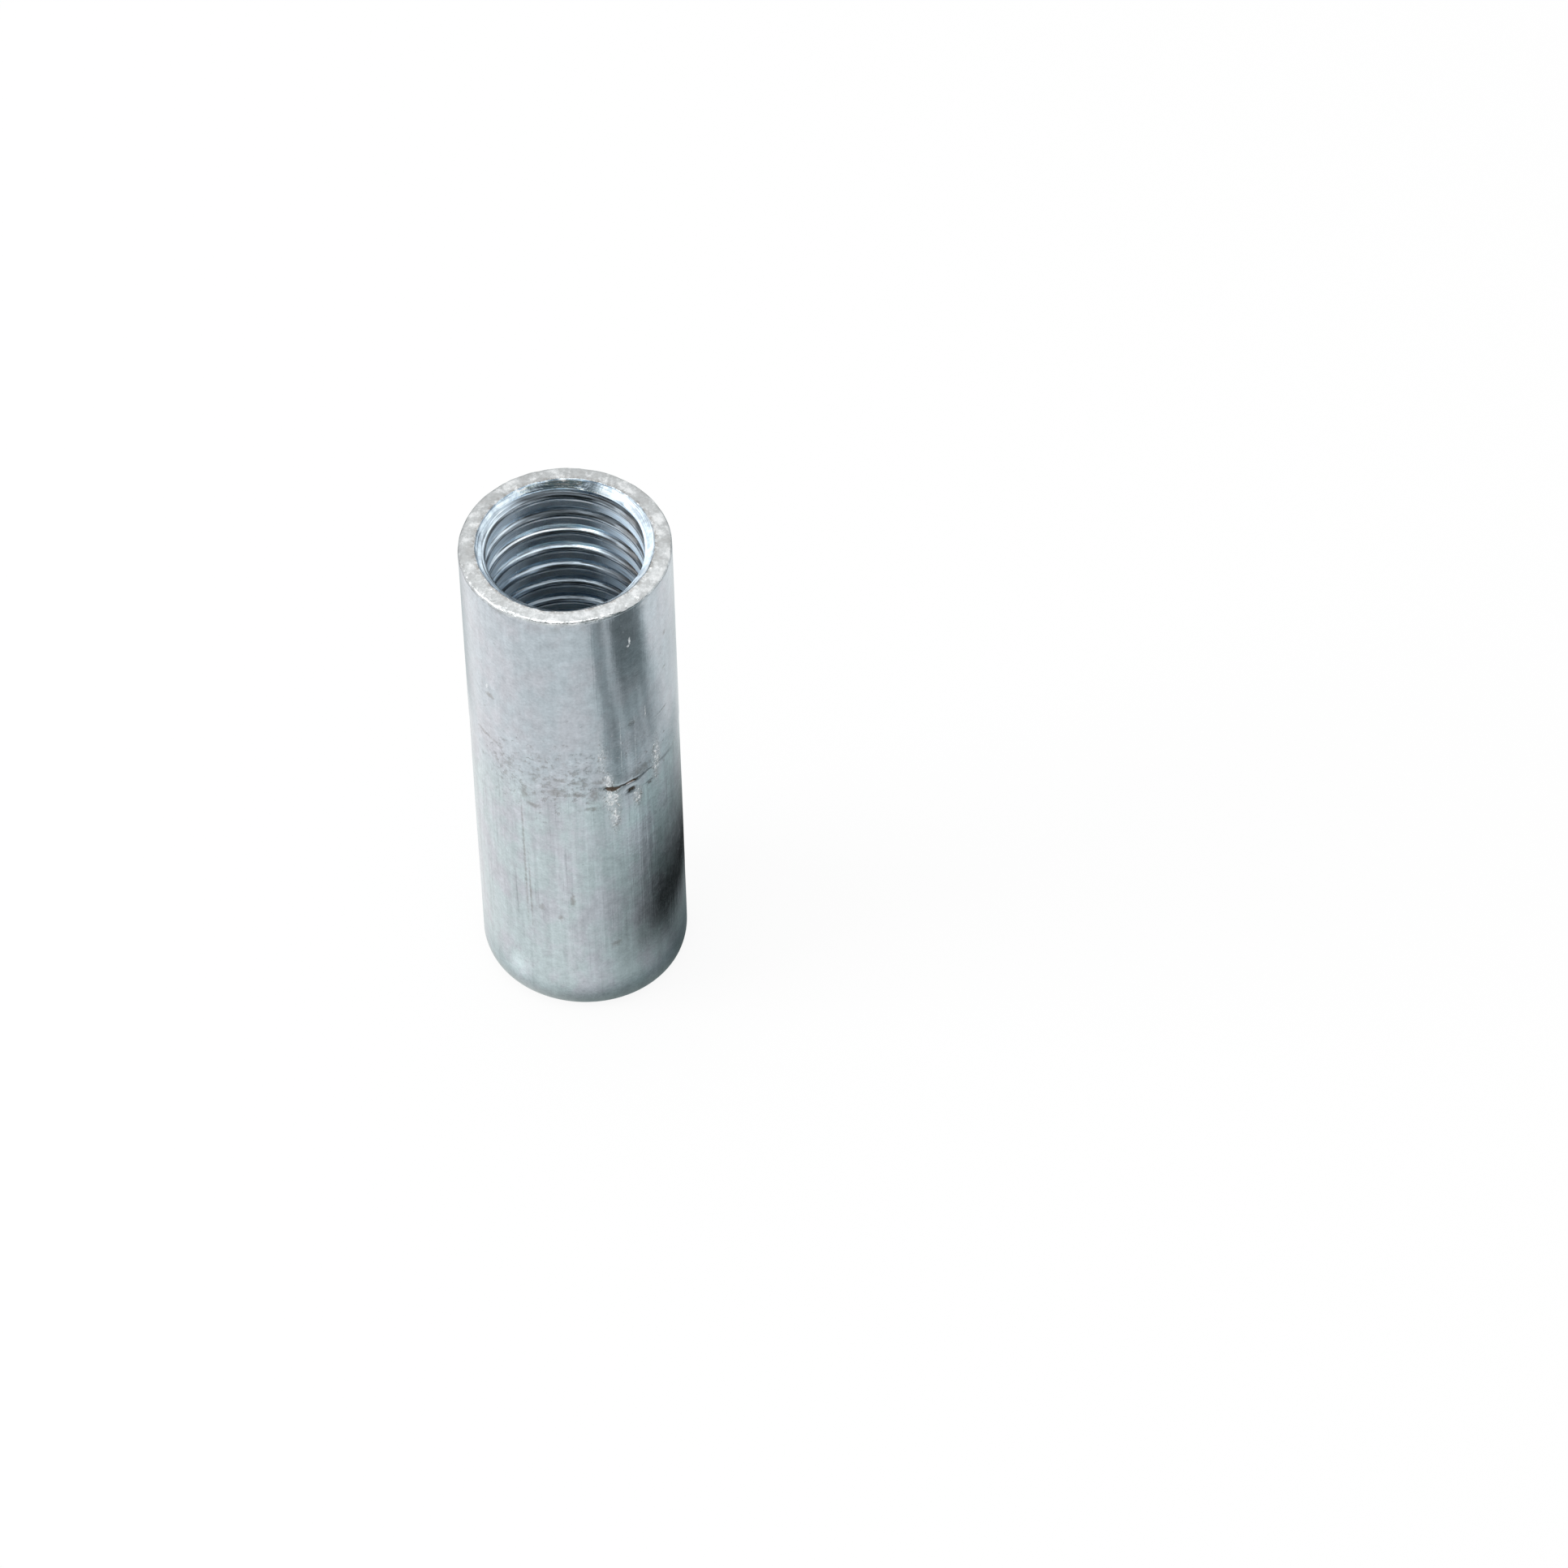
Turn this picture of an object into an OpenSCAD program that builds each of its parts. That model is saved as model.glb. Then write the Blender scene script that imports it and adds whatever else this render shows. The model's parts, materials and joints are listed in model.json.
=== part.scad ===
// Round coupling nut: a long plain round nut that joins two threaded rods end to end.
// It stands on its foot, with its axis on Z and the origin at the middle of the foot.
// The bore is drawn at the crests of its thread.

/* [Barrel] */
// Length from the foot to the top face
length = 35; // [24:0.5:80]
// Outside diameter above the forming mark
barrel_d = 12.5; // [12:0.1:18]
// Outside diameter below the forming mark
drawn_d = 12.44; // [12:0.02:18]
// Distance of the forming mark below the top face
mark_drop = 14.5; // [6:0.1:20]
// Height over which the forming mark steps from one diameter to the other
mark_h = 0.4; // [0.2:0.1:2]

/* [Bore] */
// Diameter of the bore at the crests of the thread
crest_d = 9.3; // [6:0.1:10]
// Diameter of the countersink where it meets the top face
top_mouth_d = 10.5; // [10.2:0.1:11.5]
// Diameter of the countersink where it meets the foot
foot_mouth_d = 10.4; // [10.2:0.1:11]
// Full angle of both countersinks
countersink_angle = 90; // [60:5:120]

/* [Edges] */
// Radius of the outer edge of the top face
lip_r = 0.3; // [0.1:0.05:0.6]
// How far the rounded outer edge of the foot comes in from the barrel
foot_inset = 0.6; // [0.1:0.05:0.7]
// Height above the foot at which that rounded edge meets the barrel
foot_h = 1.2; // [0.8:0.1:4]

/* [Hidden] */
$fn = 180;
zinc_colour = [0.74, 0.77, 0.79];
// Overlap that keeps a cut clear of the face it leaves by
cut_over = 0.5;
mark_z = length - mark_drop;
// Radius of the arc that leaves the barrel smoothly and reaches the foot
foot_r = (foot_inset * foot_inset + foot_h * foot_h) / (2 * foot_inset);

// Half section of the solid bar, with the step of the forming mark
module bar_section() {
    polygon([
        [0, 0],
        [drawn_d / 2, 0],
        [drawn_d / 2, mark_z - mark_h / 2],
        [barrel_d / 2, mark_z + mark_h / 2],
        [barrel_d / 2, length],
        [0, length]
    ]);
}

// What the rounded outer edge of the foot takes off the section
module foot_corner() {
    difference() {
        translate([drawn_d / 2 - foot_inset, -cut_over])
            square([foot_inset + cut_over, foot_h + cut_over]);
        translate([drawn_d / 2 - foot_r, foot_h])
            circle(r = foot_r);
    }
}

// What the rounded outer edge of the top face takes off the section
module lip_corner() {
    difference() {
        translate([barrel_d / 2 - lip_r, length - lip_r])
            square(lip_r + cut_over);
        translate([barrel_d / 2 - lip_r, length - lip_r])
            circle(r = lip_r);
    }
}

// Turned outside of the nut, still solid
module barrel() {
    rotate_extrude()
        difference() {
            bar_section();
            foot_corner();
            lip_corner();
        }
}

// Cone that opens the bore to mouth_d at z = 0 and narrows upwards
module countersink(mouth_d) {
    slope = tan(countersink_angle / 2);
    depth = (mouth_d - crest_d) / 2 / slope;
    translate([0, 0, -cut_over])
        cylinder(h = depth + cut_over, d1 = mouth_d + 2 * cut_over * slope, d2 = crest_d);
}

module coupling_nut() {
    color(zinc_colour)
        difference() {
            barrel();
            translate([0, 0, -cut_over])
                cylinder(h = length + 2 * cut_over, d = crest_d);
            countersink(foot_mouth_d);
            translate([0, 0, length])
                mirror([0, 0, 1])
                    countersink(top_mouth_d);
        }
}

coupling_nut();
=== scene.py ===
"""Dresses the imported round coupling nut: its thread, its worn zinc plating, the stage and the camera."""
import json
import math
from types import SimpleNamespace

import bmesh
import bpy
from mathutils import Matrix, Vector, noise


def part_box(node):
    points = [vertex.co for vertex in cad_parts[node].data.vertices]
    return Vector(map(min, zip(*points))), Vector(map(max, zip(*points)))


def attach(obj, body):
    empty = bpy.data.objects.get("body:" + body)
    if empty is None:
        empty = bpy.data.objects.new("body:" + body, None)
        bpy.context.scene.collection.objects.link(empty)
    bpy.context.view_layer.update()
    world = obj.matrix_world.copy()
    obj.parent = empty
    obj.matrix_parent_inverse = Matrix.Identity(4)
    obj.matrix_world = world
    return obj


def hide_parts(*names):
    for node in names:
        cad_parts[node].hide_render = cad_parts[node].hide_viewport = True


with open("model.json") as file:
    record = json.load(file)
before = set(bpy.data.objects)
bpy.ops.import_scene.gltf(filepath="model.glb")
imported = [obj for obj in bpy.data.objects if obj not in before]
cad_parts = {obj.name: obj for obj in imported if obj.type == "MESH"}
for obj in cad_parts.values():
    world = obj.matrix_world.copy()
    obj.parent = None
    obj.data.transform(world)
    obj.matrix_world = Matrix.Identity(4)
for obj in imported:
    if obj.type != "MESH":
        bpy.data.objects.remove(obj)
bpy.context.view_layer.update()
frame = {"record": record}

# Units and names
MM = 0.001
NODE = "coupling_nut"


def mount_radius(name):
    """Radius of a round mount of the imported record, in millimetres."""
    return next(m["dims"]["r_mm"] for m in frame["record"]["mounts"] if m["name"] == name)


# Sizes taken from the frame, in millimetres
LOW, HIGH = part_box(NODE)
LENGTH = (HIGH.z - LOW.z) / MM
BARREL_R = (HIGH.x - LOW.x) / MM / 2
CREST_R = mount_radius("thread_top")

# Section of the solid, in millimetres
DRAWN_R = 6.22
MARK_Z = 20.5
MARK_H = 0.4
TOP_MOUTH_R = 5.25
FOOT_MOUTH_R = 5.2
LIP_R = 0.3
FOOT_INSET = 0.6
FOOT_H = 1.2
# Radius over which a place is on the outside of the nut
OUTSIDE_R = FOOT_MOUTH_R + 0.3

# Right-hand thread: lengths in millimetres, flats and rows as shares of the pitch
PITCH = 1.5
ROOT_R = 5.12
CREST_FLAT = 0.57
CREST_ROW = 0.12
ROOT_FLAT = 0.08
ROOT_EASE = 0.02
EDGE_FLAT = 0.1
# Turn at which the thread starts, its turns below the foot, and those that it has beyond the length
THREAD_TURN = 0.15
TURNS_BELOW = 2
TURNS_SPARE = 3

# The photograph's frame, in its own pixels
PHOTO_SIDE = 1932
TOP_CENTRE_PIXEL = (695.87, 670.57)
FOCAL_PIXELS = 10000
SENSOR_MM = 36
# Place of the camera: angle of view above the floor, lean of the picture, and depth of the top centre
VIEW_ELEVATION = math.radians(49.07)
VIEW_ROLL = math.radians(1.49)
VIEW_DEPTH = 471.5
# Nearest and farthest place that the camera shows, in metres
CLIP_START = 0.01
CLIP_END = 10

# Mesh density
AROUND = 192
TURNS = [2 * math.pi * index / AROUND for index in range(AROUND)]
BARREL_STEP = 0.42
FINE_STEP = 0.1
FINE_REACH = 2.4
FOLD_STEP = 0.045
FOLD_REACH = 0.5
FOOT_STEPS = 10
LIP_STEPS = 6
RIM_STEPS = 6
SMOOTH_ANGLE = math.radians(35)
MERGE = 1e-6


def smooth(value, start, end):
    """0 before start, 1 after end and an eased rise between them."""
    share = min(1.0, max(0.0, (value - start) / (end - start)))
    return share * share * (3 - 2 * share)


def hump(value, middle, reach):
    """1 at the middle, falling off like a bell over the reach."""
    return math.exp(-((value - middle) / reach) ** 2)


def grain(place, scale, seed):
    """Smooth noise from -1 to 1 at a place in millimetres."""
    return noise.noise(place * scale + Vector((seed * 17.3, seed * 5.1, seed * 9.7)))


def grains(place, layers, start=0.0):
    """Sum of layers of noise, each an amount, a scale and a seed."""
    return sum((amount * grain(place, scale, seed) for amount, scale, seed in layers), start)


def front_angle(place):
    """Degrees to the right of the front, seen from above the foot of the picture."""
    return math.degrees(math.atan2(place.x, -place.y))


# Forming mark

# The mark runs round the barrel and drops a little to the right of the front
MARK_RISE = 0.4
MARK_FALL = 0.7
MARK_DROP_FROM = 4.5
MARK_DROP_TO = 26.0
MARK_BACK_FROM = 110.0
MARK_BACK_TO = 170.0
# Height over which the barrel by the mark goes up and down with it
MARK_FOLLOW = 5.0
# Noise in layers of an amount, a scale and a seed: height of the mark, width, bend and depth of its folds
MARK_WOBBLE = [(0.16, 0.35, 3), (0.09, 1.3, 4), (0.05, 3.1, 13)]
FOLD_RAGGED = [(0.6, 2.0, 14)]
FOLD_BEND = [(0.11, 1.9, 15)]
FOLD_UNEVEN = [(0.9, 1.7, 12), (0.8, 4.1, 18)]
FOLD_USUAL = 0.85
FOLD_LEAST = 0.1
# Folds: degrees right of the front, height over the mark, reach in degrees, half width and depth
FOLDS = {
    "dip": (21.0, 0.0, 4.4, 0.15, 0.16),
    "long fold": (33.5, 0.05, 9.0, 0.10, 0.13),
    "notch": (33.0, -0.7, 3.4, 0.17, 0.085),
    "low end": (46.0, -1.1, 3.0, 0.12, 0.07),
}
# Depth at which the painted shade of a fold is full
FOLD_SHADE_FULL = 0.07
# Faint groove along the rest of the mark, and the angle and reach at which it is worn away
FAINT_DEPTH = 0.015
FAINT_USUAL = 0.6
FAINT_WIDTH = 0.15
FAINT_GAP = (62.0, 14.0)
# Raised lip over a fold
LIP_RISE = 0.25
LIP_REACH = 0.5
LIP_OVER = 0.35
# Dents in the scuffed patches
DENT_DEPTH = 0.07
DENT_SCALE = 2.3
# Scuffed patches by the fold: degrees right of the front, height over the mark, their reach, and strength
SCUFFS = {
    "over the dip": (15.8, 2.6, 2.4, 1.7, 0.45),
    "by the dip": (19.0, 0.65, 2.7, 0.75, 0.8),
    "under the dip": (20.6, -0.9, 4.2, 0.9, 0.85),
    "low": (22.2, -2.4, 2.8, 1.3, 0.75),
    "under the fold": (36.5, -1.45, 2.7, 0.8, 0.7),
    "end of the fold": (51.0, 0.6, 3.2, 1.9, 0.6),
}


def mark_height(place):
    """Height of the forming mark at the angle of a place, in millimetres."""
    angle = front_angle(place)
    drop = smooth(angle, MARK_DROP_FROM, MARK_DROP_TO) - smooth(angle, MARK_BACK_FROM, MARK_BACK_TO)
    wobble = grains(Vector((place.x, place.y, 0)), MARK_WOBBLE)
    return MARK_Z + MARK_RISE - drop * (MARK_RISE + MARK_FALL) + wobble


def fold_depth(place, over):
    """How deep the metal is folded in, where over is the height above the mark, in millimetres."""
    angle = front_angle(place)
    ring = Vector((place.x, place.y, 0))
    ragged = grains(ring, FOLD_RAGGED, 1)
    over += grains(ring, FOLD_BEND)
    depths = []
    for middle, rise, reach, width, depth in FOLDS.values():
        depths.append(depth * hump(angle, middle, reach) * hump(over, rise, width * ragged))
    return max(depths) * max(FOLD_LEAST, grains(ring, FOLD_UNEVEN, FOLD_USUAL))


def scuff_strength(place, over):
    """How scuffed the metal is, where over is the height above the mark, from 0 to 1."""
    angle = front_angle(place)
    patches = []
    for middle, rise, wide, tall, strength in SCUFFS.values():
        patches.append(strength * hump(angle, middle, wide) * hump(over, rise, tall))
    return max(patches)


def mark_offset(place, over):
    """How far the forming mark moves the surface out, where over is the height above the mark."""
    faint = FAINT_DEPTH * (FAINT_USUAL + grain(place, 0.7, 5)) * (1 - hump(front_angle(place), *FAINT_GAP))
    groove = -faint * hump(over, 0, FAINT_WIDTH) - fold_depth(place, over)
    lip = LIP_RISE * fold_depth(place, 0) * hump(over, LIP_OVER, LIP_REACH)
    rough = max(0.0, grain(place, DENT_SCALE, 6)) + 0.5 * grain(place, 2 * DENT_SCALE, 7)
    return groove + lip - DENT_DEPTH * rough * scuff_strength(place, over)


# Wear of the barrel and the rim

# Waves and ripples of the barrel, and how much slower the waves are along the axis
WAVE = 0.03
WAVE_STRETCH = 0.45
RIPPLE = 0.006
# Worn rim: how far down it reaches, its waves, grit, burr and nicks, and the noise level that makes a nick
RIM_REACH = 0.6
RIM_WAVE = 0.05
RIM_GRIT = 0.025
RIM_NICK = 0.16
NICK_FROM = 0.35
BURR = 0.04
# Distance below the top face at which the wear of the barrel starts to fade out
RIM_CLEAR = 1.5
# The rounded edge of the foot is worn further in on the left than on the right
FOOT_SKEW = 0.25


def barrel_offset(place):
    """Slow waves that the drawing left in the barrel, in millimetres."""
    slow = Vector((place.x, place.y, place.z * WAVE_STRETCH))
    return WAVE * grain(slow, 0.17, 1) + RIPPLE * grain(place, 0.8, 2)


def rim_offset(place):
    """Move of a place on the worn rim, as a vector."""
    weight = smooth(place.z, LENGTH - RIM_REACH, LENGTH)
    if weight == 0:
        return Vector()
    down = RIM_WAVE * grain(place, 0.33, 8) + RIM_GRIT * grain(place, 2.2, 9)
    nick = RIM_NICK * max(0.0, grain(place, 1.1, 10) - NICK_FROM)
    outward = Vector((place.x, place.y, 0)).normalized()
    return weight * (outward * BURR * grain(place, 1.4, 11) - Vector((0, 0, abs(down) + nick)))


# Mesh of the nut

def arc(middle_r, middle_z, radius, start, end, steps):
    """Points of an arc in the half section, as radius and height."""
    points = []
    for step in range(steps + 1):
        turn = math.radians(start + (end - start) * step / steps)
        points.append((middle_r + radius * math.cos(turn), middle_z + radius * math.sin(turn)))
    return points


def spread(start, end, step):
    """Heights from start to just before end, about a step apart."""
    count = max(1, round((end - start) / step))
    return [start + (end - start) * index / count for index in range(count)]


def barrel_heights():
    """Heights of the rings of the barrel, closest together at the forming mark."""
    lower = MARK_Z - FINE_REACH
    upper = MARK_Z + FINE_REACH * 0.5
    heights = spread(FOOT_H, lower, BARREL_STEP)
    heights += spread(lower, MARK_Z - FOLD_REACH, FINE_STEP)
    heights += spread(MARK_Z - FOLD_REACH, MARK_Z + FOLD_REACH, FOLD_STEP)
    heights += spread(MARK_Z + FOLD_REACH, upper, FINE_STEP)
    heights += spread(upper, LENGTH - LIP_R, BARREL_STEP)
    return heights


def step_radius(height):
    """Radius of the barrel, which steps out at the forming mark."""
    return DRAWN_R + (BARREL_R - DRAWN_R) * smooth(height, MARK_Z - MARK_H / 2, MARK_Z + MARK_H / 2)


def outer_section():
    """Half section from the mouth of the foot, up the barrel, to the mouth of the top."""
    foot_r = (FOOT_INSET ** 2 + FOOT_H ** 2) / (2 * FOOT_INSET)
    foot_turn = math.degrees(math.asin(FOOT_H / foot_r))
    foot_flat = DRAWN_R - FOOT_INSET
    points = [(FOOT_MOUTH_R, 0.0), ((FOOT_MOUTH_R + foot_flat) / 2, 0.0)]
    points += arc(DRAWN_R - foot_r, FOOT_H, foot_r, -foot_turn, 0, FOOT_STEPS)[:-1]
    points += [(step_radius(height), height) for height in barrel_heights()]
    rim_r = BARREL_R - LIP_R
    points += arc(rim_r, LENGTH - LIP_R, LIP_R, 0, 90, LIP_STEPS)
    steps = range(1, RIM_STEPS + 1)
    points += [(rim_r + (TOP_MOUTH_R - rim_r) * step / RIM_STEPS, LENGTH) for step in steps]
    return points


def outer_place(angle, radius, height):
    """Place of a point of the outer section once the mark and the wear are on it."""
    place = Vector((radius * math.cos(angle), radius * math.sin(angle), height))
    place.z += (mark_height(place) - MARK_Z) * hump(height, MARK_Z, MARK_FOLLOW)
    low = 1 - min(1.0, height / FOOT_H)
    place.x += FOOT_SKEW * low * low * smooth(radius, FOOT_MOUTH_R, DRAWN_R - FOOT_INSET)
    fade = smooth(height, 0, FOOT_H) * (1 - smooth(height, LENGTH - RIM_CLEAR, LENGTH - LIP_R))
    offset = fade * (barrel_offset(place) + mark_offset(place, height - MARK_Z))
    outward = Vector((math.cos(angle), math.sin(angle), 0))
    return place + outward * offset + rim_offset(place)


def thread_section():
    """Rows of one pitch of the thread, as share of the pitch and radius."""
    crest_end = CREST_FLAT / 2
    root_start = 0.5 - ROOT_FLAT / 2
    depth = ROOT_R - CREST_R

    def flank(share):
        return CREST_R + depth * (share - crest_end) / (root_start - crest_end)

    edge = EDGE_FLAT / 2
    shares = [crest_end + edge, (crest_end + edge + root_start) / 2, root_start - ROOT_EASE]
    half = [(0.0, CREST_R), (CREST_ROW, CREST_R), (crest_end - edge, CREST_R)]
    half += [(share, flank(share)) for share in shares]
    half += [(root_start + ROOT_EASE / 2, ROOT_R), (0.5, ROOT_R)]
    return half + [(1 - share, radius) for share, radius in half[-2:0:-1]]


def bore_place(angle, height, radius):
    """Place of a point of the thread, opened out to the countersink at either end."""
    height = min(LENGTH, max(0.0, height))
    cone = max(TOP_MOUTH_R - (LENGTH - height), FOOT_MOUTH_R - height)
    radius = max(radius, cone)
    place = Vector((radius * math.cos(angle), radius * math.sin(angle), height))
    return place + rim_offset(place)


def add_thread(mesh):
    """Adds the helical wall of the bore to the mesh."""
    section = thread_section()
    turns = range(-TURNS_BELOW, math.ceil(LENGTH / PITCH) + TURNS_SPARE - TURNS_BELOW)
    rows = [((turn + share) * PITCH, radius) for turn in turns for share, radius in section]
    grid = []
    for index, angle in enumerate(TURNS):
        rise = (index / AROUND + THREAD_TURN) * PITCH
        grid.append([mesh.verts.new(bore_place(angle, z + rise, r) * MM) for z, r in rows])
    for index in range(AROUND):
        after = (index + 1) % AROUND
        shift = len(section) if after == 0 else 0
        for row in range(len(rows) - 1 - shift):
            corners = [grid[index][row], grid[index][row + 1]]
            corners += [grid[after][row + 1 + shift], grid[after][row + shift]]
            mesh.faces.new(corners)


def add_outside(mesh):
    """Adds the turned outside of the nut to the mesh."""
    rings = []
    for radius, height in outer_section():
        rings.append([mesh.verts.new(outer_place(turn, radius, height) * MM) for turn in TURNS])
    for ring, above in zip(rings, rings[1:]):
        for index in range(AROUND):
            after = (index + 1) % AROUND
            mesh.faces.new([ring[index], ring[after], above[after], above[index]])


def add_fold_shade_and_scuff(data):
    """Stores how deep the painted shade of the fold is and how scuffed the metal by it is, for the material.
    """
    fold = data.attributes.new("fold", "FLOAT", "POINT")
    scuff = data.attributes.new("scuff", "FLOAT", "POINT")
    for index, vert in enumerate(data.vertices):
        place = vert.co / MM
        if math.hypot(place.x, place.y) < OUTSIDE_R:
            continue
        over = place.z - mark_height(place)
        fold.data[index].value = min(1.0, fold_depth(place, over) / FOLD_SHADE_FULL)
        scuff.data[index].value = scuff_strength(place, over)


def make_nut():
    """One closed mesh of the whole nut, which stands for the plain solid."""
    mesh = bmesh.new()
    add_thread(mesh)
    add_outside(mesh)
    bmesh.ops.remove_doubles(mesh, verts=mesh.verts, dist=MERGE)
    bmesh.ops.dissolve_degenerate(mesh, edges=mesh.edges, dist=MERGE)
    loose = [vert for vert in mesh.verts if not vert.link_faces]
    bmesh.ops.delete(mesh, geom=loose, context="VERTS")
    bmesh.ops.recalc_face_normals(mesh, faces=mesh.faces)
    data = bpy.data.meshes.new("nut_mesh")
    mesh.to_mesh(data)
    mesh.free()
    data.shade_smooth()
    data.set_sharp_from_angle(angle=SMOOTH_ANGLE)
    add_fold_shade_and_scuff(data)
    nut = bpy.data.objects.new("threaded_nut", data)
    bpy.context.collection.objects.link(nut)
    return nut


# Materials

class Sheet:
    """Short calls that add and join the nodes of one material."""

    def __init__(self, name):
        self.material = bpy.data.materials.new(name)
        self.material.use_nodes = True
        self.nodes = self.material.node_tree.nodes
        self.links = self.material.node_tree.links
        self.nodes.clear()

    def put(self, socket, value):
        """Joins a socket to another one, or sets it to a value."""
        if isinstance(value, bpy.types.NodeSocket):
            self.links.new(value, socket)
        else:
            socket.default_value = value

    def add(self, kind, inputs, **settings):
        """Adds a node with its settings and its inputs."""
        node = self.nodes.new(kind)
        for name, value in settings.items():
            setattr(node, name, value)
        for name, value in inputs.items():
            self.put(node.inputs[name], value)
        return node

    def sum(self, operation, first, second=0.0):
        """Result of a sum of one or two numbers."""
        return self.add("ShaderNodeMath", {0: first, 1: second}, operation=operation).outputs[0]

    def times(self, first, second):
        """The first number times the second."""
        return self.sum("MULTIPLY", first, second)

    def plus(self, first, second):
        """The first number plus the second."""
        return self.sum("ADD", first, second)

    def minus(self, first, second):
        """The first number minus the second."""
        return self.sum("SUBTRACT", first, second)

    def most(self, first, second):
        """The larger of two numbers."""
        return self.sum("MAXIMUM", first, second)

    def away(self, value, middle):
        """How far a value lies from the middle, on either side."""
        return self.sum("ABSOLUTE", self.minus(value, middle))

    def range(self, value, start, end, low=0.0, high=1.0):
        """A value that goes from low at start to high at end."""
        inputs = {"Value": value, "From Min": start, "From Max": end, "To Min": low, "To Max": high}
        return self.add("ShaderNodeMapRange", inputs).outputs[0]

    def between(self, share, low, high):
        """A value that goes from low to high as the share goes from 0 to 1."""
        return self.range(share, 0, 1, low, high)

    def noise(self, place, detail, roughness):
        """Cloudy noise from 0 to 1, with cells about one unit wide."""
        inputs = {"Vector": place, "Scale": 1.0, "Detail": detail, "Roughness": roughness}
        return self.add("ShaderNodeTexNoise", inputs).outputs[0]

    def stretch(self, place, scale):
        """A place, or a colour, multiplied along each axis."""
        return self.add("ShaderNodeVectorMath", {0: place, 1: scale}, operation="MULTIPLY").outputs[0]

    def blend(self, share, first, second):
        """A colour that goes from the first to the second."""
        return self.add("ShaderNodeMix", {0: share, 6: first, 7: second}, data_type="RGBA").outputs[2]

    def dim(self, colour, level):
        """A colour made lighter or darker by a level around 1."""
        return self.add("ShaderNodeVectorMath", {0: colour, "Scale": level}, operation="SCALE").outputs[0]

    def ramp(self, value, stops):
        """A colour that runs through stops, each a value from 0 to 1 and a colour."""
        node = self.add("ShaderNodeValToRGB", {0: value})
        elements = node.color_ramp.elements
        for _ in stops[2:]:
            elements.new(0.5)
        for element, (position, colour) in zip(elements, stops):
            element.position = position
            element.color = colour
        return node.outputs[0]

    def place_in_mm(self):
        """Place on the object itself, in millimetres."""
        coords = self.add("ShaderNodeTexCoord", {}).outputs["Object"]
        return self.stretch(coords, (1 / MM, 1 / MM, 1 / MM))

    def split(self, place):
        """The three parts of a place, by the names X, Y and Z."""
        return self.add("ShaderNodeSeparateXYZ", {0: place}).outputs

    def radians_from_front(self, place):
        """Angle to the right of the front at a place, in radians."""
        parts = self.split(place)
        return self.sum("ARCTAN2", parts["X"], self.times(parts["Y"], -1))

    def degrees_from_front(self, place):
        """Angle to the right of the front at a place, in degrees."""
        return self.times(self.radians_from_front(place), math.degrees(1))

    def reach_from_axis(self, place):
        """Distance of a place from the axis."""
        flat = self.stretch(place, (1, 1, 0))
        return self.add("ShaderNodeVectorMath", {0: flat}, operation="LENGTH").outputs["Value"]

    def finish(self, shader):
        """Makes a shader the surface of the material."""
        self.add("ShaderNodeOutputMaterial", {"Surface": shader.outputs[0]})
        return self.material


# Zinc plating

# Colours of the plating
ZINC_UPPER = (0.582, 0.632, 0.675, 1)
ZINC_LOWER = (0.582, 0.658, 0.675, 1)
ZINC_LILAC = (0.595, 0.612, 0.655, 1)
ZINC_BORE = (0.745, 0.880, 1.000)
ZINC_RIM = (0.535, 0.556, 0.562, 1)
ZINC_BARE = (0.930, 0.950, 0.960, 1)
# Greyer, less blue foot band that stands in for the shade that the foot mirrors from the floor
ZINC_FOOT_REFLECTED_SHADE = (0.600, 0.620, 0.612, 1)
SMUDGE = (0.340, 0.335, 0.325, 1)
STAIN = (0.235, 0.210, 0.185, 1)
# Painted shade in the folds of the forming mark
FOLD_SHADE_COLOUR = (0.105, 0.082, 0.064, 1)

# Noise patterns: cells to a millimetre across the axis and along it, detail and roughness
PATTERNS = {
    "cloud": (0.55, 0.33, 4, 0.6),
    "mottle": (1.5, 1.5, 6, 0.62),
    "speckle": (6.0, 6.0, 4, 0.6),
    "streak": (2.4, 0.07, 4, 0.6),
    "lines": (9.0, 0.16, 3, 0.55),
    "grit": (3.4, 3.4, 4, 0.65),
    "flakes": (2.3, 2.5, 5, 0.7),
    "ragged": (3.4, 3.4, 5, 0.65),
    "blots": (1.3, 1.3, 5, 0.65),
    "dents": (1.7, 1.7, 1.5, 0.45),
    "torn": (7.0, 5.0, 5, 0.7),
    "dots": (5.0, 5.0, 4, 0.7),
}
# Span that most of a noise pattern lies in
NOISE_SPAN = (0.3, 0.7)

# Zones of the nut, each from where it starts to where it is full, in millimetres
BELOW_ZONE = (MARK_Z + 1.0, MARK_Z - 2.0)
DRAWN_ZONE = (1.5, 6.0)
FOOT_ZONE = (FOOT_H + 0.5, FOOT_H - 0.5)
BORE_ZONE = (TOP_MOUTH_R + 0.03, TOP_MOUTH_R - 0.07)
CREST_ZONE = (CREST_R + 0.06, CREST_R + 0.02)
MOUTH_ZONE = (LENGTH - 0.9, LENGTH - 0.4)
RIM_ZONE = (LENGTH - 0.28, LENGTH - 0.1)
RIM_EDGE_ZONE = (TOP_MOUTH_R + 0.3, TOP_MOUTH_R + 0.05)
# Duller side walls and near wall of the bore: where each starts and is full, and how dull it starts and gets
RIGHT_WALL = (1.5, 3.9, 0, 1)
LEFT_WALL = (-2.2, -4.2, 0, 0.6)
NEAR_WALL = (-2.0, -4.0, 0, 0.3)
# Scaly patch at the mark: its middle as height and degrees right of the front, and how it fades from there
SCALE_HEIGHT = MARK_Z + 0.8
SCALE_FADE = (5.5, 1.0)
SCALE_ANGLE = -18.0
SCALE_TURN_FADE = (50, 25, 0.35, 1)

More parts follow.
